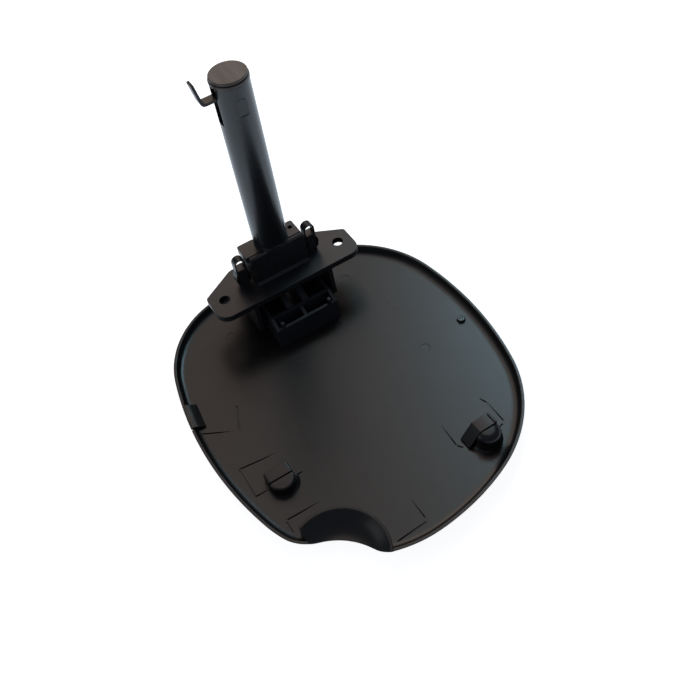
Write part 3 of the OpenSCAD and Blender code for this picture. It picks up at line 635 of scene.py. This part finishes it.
    def outline(self) -> list[Station]:
        """Returns the stations round the whole lid, with the notch in its front left corner."""
        stations: list[Station] = []
        for i in range(4):
            side = self.side_centre(i)
            before, after = self.corner_centre((i + 3) % 4), self.corner_centre(i)
            end = after - self.side_centre((i + 1) % 4)
            stations += self.arc(side, self.side_r[i], before - side, after - side)
            start = after - side
            if i == 2:
                tips = [self.tip_centre(0), self.tip_centre(1)]
                notch = Vector(self.notch)
                stations += self.arc(after, self.corner_r[i], start, tips[0] - after)
                stations += self.arc(tips[0], self.tip_r[0], tips[0] - after, notch - tips[0])
                stations += self.arc(notch, self.notch_r, tips[0] - notch, tips[1] - notch, hollow=True)
                stations += self.arc(tips[1], self.tip_r[1], notch - tips[1], tips[1] - after)
                start = tips[1] - after
            stations += self.arc(after, self.corner_r[i], start, end)
        return stations

    def leaned(self, place: Vector, z: float) -> Vector:
        """Returns a place of the outline at a height, moved in or out by the edge's lean."""
        middle = Vector(self.crown)
        return middle + (place - middle) * (1.0 + self.lean * (z - self.stated_z))

    def ring(self, inset: float, lift: float, share: float = 1.0) -> list[Vector]:
        """Returns a ring of points along the outline.

        Args:
            inset: Distance inside the outline.
            lift: Height above the lid's inner face.
            share: Share of the way out from the crown's middle.

        Returns:
            One point for each station.
        """
        middle = Vector(self.crown)
        points = []
        for station in self.stations:
            place = station.place - station.outward * inset
            place = self.leaned(place, self.panel_z(*place) + lift)
            place = middle + (place - middle) * share
            points.append(Vector((place.x, place.y, self.panel_z(*place) + lift)))
        return points

    def column(self, name: str, inset: float) -> bpy.types.Object:
        """Returns a leaning column of the lid's outline, used to trim ribs to the rim."""
        rings = []
        for z in (reach - self.drop for reach in self.column_reach):
            places = [self.leaned(s.place - s.outward * inset, z) for s in self.stations]
            rings.append([Vector((p.x, p.y, z)) for p in places])
        return skin(name, rings, End.FACE)

    def shell(self) -> bpy.types.Object:
        """Models panel and rim by extruding one ring from the crown's underside round to its inner face."""
        low, wide, high = -self.thick, self.rim_w, self.rim_h
        under_in = 1.2
        outer = [(under_in, low), (0.5, low + 0.14), (0.12, low + 0.5), (0.0, low + 1.0), (0.0, 0.4)]
        brim = [(0.0, high - 0.35), (0.06, high - 0.14), (0.18, high - 0.03), (0.34, high), (wide - 0.3, high)]
        inner = [(wide - 0.12, high - 0.04), (wide, high - 0.2), (wide, 1.5)]
        foot = [
            (wide + 0.08, 1.05), (wide + 0.35, 0.7), (wide + 0.8, 0.4), (wide + 1.5, 0.17), (wide + 2.3, 0.04),
            (self.rim_foot, 0.0)]
        outwards = (0.03, 0.2, 0.4, 0.6, 0.75, 0.87, 0.95)
        inwards = (0.985, 0.96, 0.92, 0.85, 0.75, 0.6, 0.45, 0.3, 0.15, 0.03)
        rings = [self.ring(under_in, low, share) for share in outwards]
        rings += [self.ring(inset, lift) for inset, lift in outer + brim + inner + foot]
        rings += [self.ring(self.rim_foot, 0.0, share) for share in inwards]
        return skin("fuel_lid", rings, End.POLE)

    def add_scoop(self, lid: bpy.types.Object) -> None:
        """Joins the scoop's ridge to the lid and hollows it."""
        at = Vector(self.scoop)
        lip = at + self.scoop_r * Vector((-1.0, 2.6)).normalized()
        crest = self.panel_z(*lip) + self.scoop_h
        radius = self.scoop_r + self.scoop_wall
        rings = [circle(at, radius, z, SCOOP_POINTS) for z in (0.0, crest - self.scoop_edge)]
        rings.append(circle(at, radius - self.scoop_edge, crest, SCOOP_POINTS))
        for point in rings[0]:
            point.z = self.panel_z(point.x, point.y) - self.thick / 2
        ridge = skin("scoop_ridge", rings, End.FACE)
        slice_off(ridge, Vector((self.scoop_end, 0.0, 0.0)), Vector((-1.0, 0.0, 0.0)))
        combine(ridge, self.column("scoop_column", 0.0), Cut.TRIM)
        combine(lid, ridge, Cut.JOIN)
        slope = math.radians(self.scoop_slope)
        bend = self.scoop_deep / (1.0 - math.cos(slope))
        floor_r = self.scoop_r - bend * math.sin(slope)
        profile = [(floor_r * 0.5, 0.0)]
        turns = [slope * i / 12 for i in range(13)]
        profile += [(floor_r + bend * math.sin(a), bend * (1.0 - math.cos(a))) for a in turns]
        profile += [(self.scoop_r, 4 * self.scoop_deep)]
        rings = [circle(at, r, crest - self.scoop_deep + z, SCOOP_POINTS) for r, z in profile]
        bowl = skin("scoop_bowl", rings, End.FACE)
        slice_off(bowl, Vector((self.scoop_end - 0.01, 0.0, 0.0)), Vector((-1.0, 0.0, 0.0)))
        combine(lid, bowl, Cut.TAKE)

    def groove_lines(self) -> list[tuple[Vector, Vector]]:
        """Returns the ends of the fine grooves that the mould's inserts leave in the panel."""
        left, right = Vector(self.left_boss[:2]), Vector(self.right_boss[:2])
        lines = [(left + Vector(a), left + Vector(b)) for a, b in self.left_grooves]
        lines += [(right + Vector(a), right + Vector(b)) for a, b in self.right_grooves]
        return lines + [(Vector(a), Vector(b)) for a, b in self.panel_grooves]

    def add_marks(self, lid: bpy.types.Object) -> None:
        """Presses the ejector marks and the inserts' fine grooves into the panel, and the gap below the rim's ramp."""
        tools = []
        for i, (x, y) in enumerate(self.marks):
            low = self.panel_z(x, y)
            floor, brim = (circle(Vector((x, y)), self.mark_d / 2, low + lift, MARK_POINTS) for lift in (0.0, 3.0))
            for point in floor:
                point.z = self.panel_z(point.x, point.y) - self.mark_deep
            tools.append(skin(f"mark_{i}", [floor, brim], End.FACE))
        for i, (a, b) in enumerate(self.groove_lines()):
            floor = (self.panel_z(*a) + self.panel_z(*b)) / 2 - self.groove_deep
            across = Vector((a.y - b.y, b.x - a.x)).normalized() * self.groove_w / 2
            corners = (a - across, b - across, b + across, a + across)
            rings = [[Vector((*c, z)) for c in corners] for z in (floor, floor + 3.0)]
            tools.append(skin(f"groove_{i}", rings, End.FACE))
        x, y = -self.left - 1.0, self.ramp[1] - self.ramp_size[0] / 2 - 1.4
        floor = self.panel_z(*self.ramp) + 0.5
        tools.append(block("ramp_gap", (x, y, floor), (x + 8.0, y + self.gap, floor + 9.0)))
        combine(lid, joined(tools), Cut.TAKE)

    def boss_dome(self, name: str, spec: Spot, flat: float, edge: float) -> bpy.types.Object:
        """Models the half dome in front of a catch boss's slit.

        Args:
            name: The piece's name.
            spec: Place of the slit's middle, and the boss's height.
            flat: Radius of its flat top.
            edge: Radius of the rounding round the top.

        Returns:
            The half dome, sunk half way into the panel.
        """
        x, y, height = spec
        base, top = self.panel_z(x, y) - self.thick / 2, height + self.thick / 2
        wall = flat + edge
        turn = [math.radians(90 * i / 10) for i in range(11)]
        flare = ((1.0, 0.0), (0.75, 1.5), (0.4, 2.2), (0.2, 3.2))
        profile = [(wall + self.boss_flare * share, z) for share, z in flare]
        profile += [(flat + edge * math.cos(a), top - edge + edge * math.sin(a)) for a in turn]
        rings = [circle(Vector((x, y - self.slit)), r, base + z, DOME_POINTS) for r, z in profile]
        dome = skin(name, rings, End.FACE)
        slice_off(dome, Vector((0.0, y - self.slit, 0.0)), Vector((0.0, 1.0, 0.0)))
        return dome

    def add_web(self, boss: bpy.types.Object, spec: Spot, low: float) -> None:
        """Joins the web that ties a boss's half dome to its block across the slit.

        Args:
            boss: The catch boss.
            spec: Place of the slit's middle, and the boss's height.
            low: How far the web stays below the boss's top.
        """
        x, y, height = spec
        base, top = self.panel_z(x, y) - self.thick / 2, height + self.thick / 2
        half = self.boss_w / 2
        start = (x - half + self.web_in, y - self.slit - 0.3, base)
        web = block("catch_web", start, (x + half - self.web_in, y + 0.3, base + top - low))
        combine(boss, web, Cut.JOIN)

    def left_catch(self) -> bpy.types.Object:
        """Models the left catch boss: a block behind the slit, a half dome in front and a web between them."""
        x, y, height = self.left_boss
        half, edge = self.boss_w / 2, self.boss_edge
        boss = self.boss_dome("catch_boss_left", self.left_boss, half, edge)
        base, top = self.panel_z(x, y) - self.thick / 2, height + self.thick / 2
        turn = [math.radians(90 * i / 6) for i in range(7)]
        face = [(-half - edge, 0.0)] + [(-half - edge * math.cos(a), top - edge + edge * math.sin(a)) for a in turn]
        face += [(-u, z) for u, z in reversed(face)]
        ends = [(0.0, 0.25), (0.25, 0.0), (self.boss_back - 0.6, 0.0), (self.boss_back, 0.6)]
        rings = [
            [Vector((x + u * (1 - cut / half), y + v, base + z - cut * (z > 0))) for u, z in face] for v, cut in ends]
        combine(boss, skin("catch_block", rings, End.FACE), Cut.JOIN)
        self.add_web(boss, self.left_boss, 2.5)
        return boss

    def right_catch(self) -> bpy.types.Object:
        """Models the right catch boss: a rounder half dome, a ramp behind its slit and a low rib on the right."""
        x, y, height = self.right_boss
        base, top = self.panel_z(x, y) - self.thick / 2, height + self.thick / 2
        half = self.boss_w / 2
        boss = self.boss_dome("catch_boss_right", self.right_boss, half * 0.55, half * 0.45 + self.boss_edge)
        self.add_web(boss, self.right_boss, 4.0)
        face = [
            (half + 0.5, 0.3), (-half - 5.4, 0.3), (-half - 5.4, 2.6), (-half + 2.0, top - 0.15), (-half + 2.8, top),
            (half - 0.2, top), (half + 0.5, top - 0.7)]
        rings = [
            [Vector((x + u, y + v, self.panel_z(x + u, y + v) + z - self.thick / 2)) for u, z in face]
            for v in (0.1, 8.2)]
        combine(boss, skin("catch_block", rings, End.FACE), Cut.JOIN)
        start = (x + half - 0.9, y + 0.3, base + top - 2.0)
        rib = block("catch_rib", start, (x + half + 0.4, y + 7.2, base + top + 1.0))
        combine(boss, rib, Cut.JOIN)
        return boss

    def rim_ramp(self) -> bpy.types.Object:
        """Models the ramp that runs from the top of the left rim down to the panel."""
        long, wide = self.ramp_size
        base = self.panel_z(*self.ramp)
        face = [
            (-3.0, -1.4), (-3.0, self.rim_h), (0.6, self.rim_h), (wide * 0.5, 1.9), (wide - 0.5, 0.25), (wide, -0.1),
            (wide, -1.4)]
        turn = Matrix.Rotation(math.radians(self.ramp_turn), 3, "Z")
        at = Vector((*self.ramp, base))
        rings = [[at + turn @ Vector((u, v, z)) for u, z in face] for v in (-long / 2, long / 2)]
        ramp = skin("rim_ramp", rings, End.FACE)
        combine(ramp, self.column("ramp_column", self.rim_w / 2), Cut.TRIM)
        return ramp

    def sprue_stub(self) -> bpy.types.Object:
        """Models the stub that the sprue left, with a rounded top and a snapped middle."""
        x, y = self.stub
        base = self.panel_z(x, y)
        profile = [
            (2.9, -1.0), (2.9, -0.1), (2.6, 0.2), (2.5, 1.2), (2.3, 1.55), (1.9, 1.65), (1.2, 1.6), (0.9, 1.35),
            (0.3, 1.3)]
        rings = [circle(Vector((x, y)), r, base + z, STUB_POINTS) for r, z in profile]
        return skin("sprue_stub", rings, End.FACE)

    def build(self) -> None:
        """Builds the lid's pieces, dresses them and puts them on the lid's body."""
        self.stations = self.outline()
        lid = self.shell()
        self.add_scoop(lid)
        self.add_marks(lid)
        for piece in (lid, self.left_catch(), self.right_catch(), self.rim_ramp(), self.sprue_stub()):
            finish_piece(piece, LID_PANEL_ABS, Body.LID, ROUND_ANGLE)
        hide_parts("lid_panel")


@dataclass
class Dressing:
    """Gives CAD nodes their finishes."""

    finishes: dict[str, Finish] = field(default_factory=lambda: {
        "hinge_housing": HOUSING_NYLON, "hinge_arm": ARM_NYLON_PAINTED_LIGHTER, "tube_cap": CAP_PLASTIC,
        "piston_head": HOUSING_NYLON, "pivot_pin": ZINC_STEEL, "pin_clip": ZINC_STEEL, "crank_pin": ZINC_STEEL,
        "pull_rod": ZINC_STEEL, "head_ring": ZINC_STEEL, "hook_rivet": ZINC_STEEL, "spring_seat": ZINC_STEEL,
        "body_clip_left": SPRING_STEEL, "body_clip_right": SPRING_STEEL, "release_hook": SPRING_STEEL,
        "return_spring": SPRING_STEEL, "rod_guide": NATURAL_ACETAL, "arm_bush_left": NATURAL_ACETAL,
        "arm_bush_right": NATURAL_ACETAL, "side_washer_left": NATURAL_ACETAL, "side_washer_right": NATURAL_ACETAL})

    def build(self) -> None:
        """Puts each finish on its node."""
        for name, finish in self.finishes.items():
            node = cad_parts[name]
            node.data.materials.clear()
            node.data.materials.append(finish.material())
            LOG.info("dressed %s in %s", name, finish.name)


@dataclass(frozen=True)
class Lamp:
    """One soft square lamp: its place and side in metres, its power in watts and the colour of its light."""

    name: str
    place: tuple[float, float, float]
    size: float
    power: float
    tint: str


@dataclass
class Studio:
    """Floor, lamps, room and camera. Lengths are in metres where no other unit is named."""

    image_size: float = 680.0
    focal_px: float = 872.815
    camera_place: tuple[float, float, float] = (-117.4, -358.5, 385.3)
    camera_right: tuple[float, float, float] = (0.8510, -0.5109, -0.1237)
    camera_up: tuple[float, float, float] = (0.4685, 0.6313, 0.6189)
    sensor_mm: float = 36.0
    floor_size: float = 12.0
    floor_gap: float = 0.0002
    floor_glow: float = 0.9
    mirror_glow: float = 1.15
    room_glow: float = 0.17
    aim: tuple[float, float, float] = (0.0, -0.07, 0.0)
    lamps: tuple[Lamp, ...] = (
        Lamp("softbox_above", (0.2, 0.66, 0.96), 0.9, 2.1, "#ffe6d6"),
        Lamp("softbox_cool", (0.262, 0.168, 0.36), 0.12, 0.42, "#b4e6f8"),
        Lamp("softbox_left", (-1.1, 0.25, 0.55), 0.7, 0.7, "#ffffff"),
        Lamp("softbox_back", (0.33, 1.07, 0.6), 0.5, 1.6, "#ffe6d2"))

    def add_camera(self) -> None:
        """Sets the camera at the photograph's place and angle, which are given in millimetres."""
        data = bpy.data.cameras.new("photo_camera")
        data.sensor_width = self.sensor_mm
        data.lens = self.sensor_mm * self.focal_px / self.image_size
        data.clip_start = 0.01
        data.clip_end = 50.0
        camera = bpy.data.objects.new("photo_camera", data)
        right = Vector(self.camera_right).normalized()
        up = Vector(self.camera_up)
        up = (up - right * up.dot(right)).normalized()
        back = right.cross(up)
        turn = Matrix((right, up, back)).transposed().to_4x4()
        camera.matrix_world = Matrix.Translation(Vector(self.camera_place) * MM) @ turn
        bpy.context.scene.collection.objects.link(camera)
        bpy.context.scene.camera = camera

    def add_lamp(self, lamp: Lamp) -> None:
        """Hangs one lamp so that it faces the object."""
        data = bpy.data.lights.new(lamp.name, "AREA")
        data.shape = "SQUARE"
        data.size = lamp.size
        data.energy = lamp.power
        data.color = linear(lamp.tint)[:3]
        hung = bpy.data.objects.new(lamp.name, data)
        hung.location = lamp.place
        ray = Vector(self.aim) - Vector(lamp.place)
        hung.rotation_euler = ray.to_track_quat("-Z", "Y").to_euler()
        bpy.context.scene.collection.objects.link(hung)

    def add_floor(self, low: float) -> None:
        """Adds the pale floor, which shows white to the camera and keeps the object's shadow.

        Args:
            low: Height of the object's lowest point.
        """
        bpy.ops.mesh.primitive_plane_add(size=self.floor_size, location=(0.0, 0.0, low - self.floor_gap))
        floor = bpy.context.active_object
        floor.name = "floor"
        made = bpy.data.materials.new("matt_white_paper")
        made.use_nodes = True
        tree = made.node_tree
        tree.nodes.clear()
        path = add_node(tree, "LightPath")
        seen = add_node(
            tree, "Math", {"operation": "MAXIMUM"},
            {"I0": path.outputs["Is Camera Ray"], "I1": path.outputs["Is Glossy Ray"]})
        paper = add_node(tree, "BsdfDiffuse", {"Color": linear("#e6e6e6")})
        glow = add_node(tree, "Emission", {"Color": linear("#ffffff"), "Strength": self.floor_glow})
        cool = add_node(tree, "Emission", {"Color": linear("#d6e6f5"), "Strength": self.mirror_glow})
        shown = add_node(
            tree, "MixShader", {},
            {"Fac": path.outputs["Is Glossy Ray"], "I1": glow.outputs[0], "I2": cool.outputs[0]})
        both = add_node(tree, "AddShader", {}, {"I0": paper.outputs[0], "I1": shown.outputs[0]})
        mixed = add_node(
            tree, "MixShader", {}, {"Fac": seen.outputs[0], "I1": paper.outputs[0], "I2": both.outputs[0]})
        add_node(tree, "OutputMaterial", {}, {"Surface": mixed.outputs[0]})
        floor.data.materials.append(made)

    def add_world(self) -> None:
        """Lights the room evenly and faintly, and shows it white to the camera."""
        world = bpy.data.worlds.new("studio_room")
        bpy.context.scene.world = world
        world.use_nodes = True
        tree = world.node_tree
        tree.nodes.clear()
        path = add_node(tree, "LightPath")
        seen = add_node(
            tree, "Math", {"operation": "MAXIMUM"},
            {"I0": path.outputs["Is Camera Ray"], "I1": path.outputs["Is Transmission Ray"]})
        room = add_node(tree, "Background", {"Color": linear("#d5e0f6"), "Strength": self.room_glow})
        white = add_node(tree, "Background", {"Color": linear("#ffffff"), "Strength": 1.0})
        mixed = add_node(
            tree, "MixShader", {}, {"Fac": seen.outputs[0], "I1": room.outputs[0], "I2": white.outputs[0]})
        add_node(tree, "OutputWorld", {}, {"Surface": mixed.outputs[0]})

    def build(self) -> None:
        """Builds floor, lamps, room and camera."""
        self.add_camera()
        self.add_floor(CAD_BOX[0][2])
        self.add_world()
        for lamp in self.lamps:
            self.add_lamp(lamp)
        bpy.context.scene.view_settings.view_transform = "Standard"


def main() -> None:
    """Builds the studio and dresses the fuel door, piece by piece."""
    logging.basicConfig(level=logging.INFO)
    for builder in (Studio(), Dressing(), FuelLid()):
        builder.build()
        LOG.info("built %s", type(builder).__name__)


if __name__ == "__main__":
    main()
